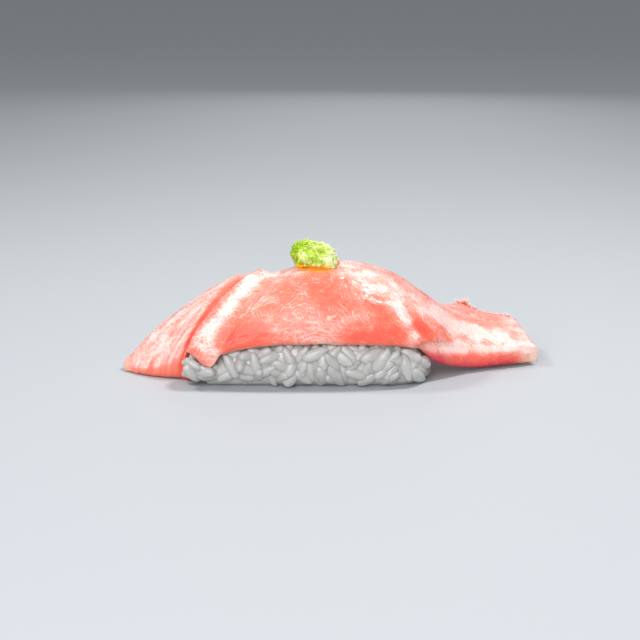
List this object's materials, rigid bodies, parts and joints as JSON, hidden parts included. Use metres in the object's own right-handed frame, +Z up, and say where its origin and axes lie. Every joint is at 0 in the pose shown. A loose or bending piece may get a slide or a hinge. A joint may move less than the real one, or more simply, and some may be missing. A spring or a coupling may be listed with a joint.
{
  "type": "tuna nigiri",
  "caption": "Fatty tuna nigiri: a long folded slice of tuna draped over a pressed block of rice, with a dab of grated wasabi on top.",
  "frame": {"origin": "middle of the rice block's footprint, on the surface that the nigiri rests on", "axes": "+Z up, +X along the slice towards its flat blunt end, -Y towards the viewer's side with the fold"},
  "size_m": [0.0913, 0.0322, 0.0291],
  "materials": {
    "rice": "moist, slightly glossy boiled rice",
    "tuna_slice": "wet marbled raw fish",
    "wasabi": "moist grated paste"
  },
  "bodies": {
    "root": {"rice": "rice", "tuna_slice": "tuna_slice", "wasabi": "wasabi"}
  },
  "joints": []
}
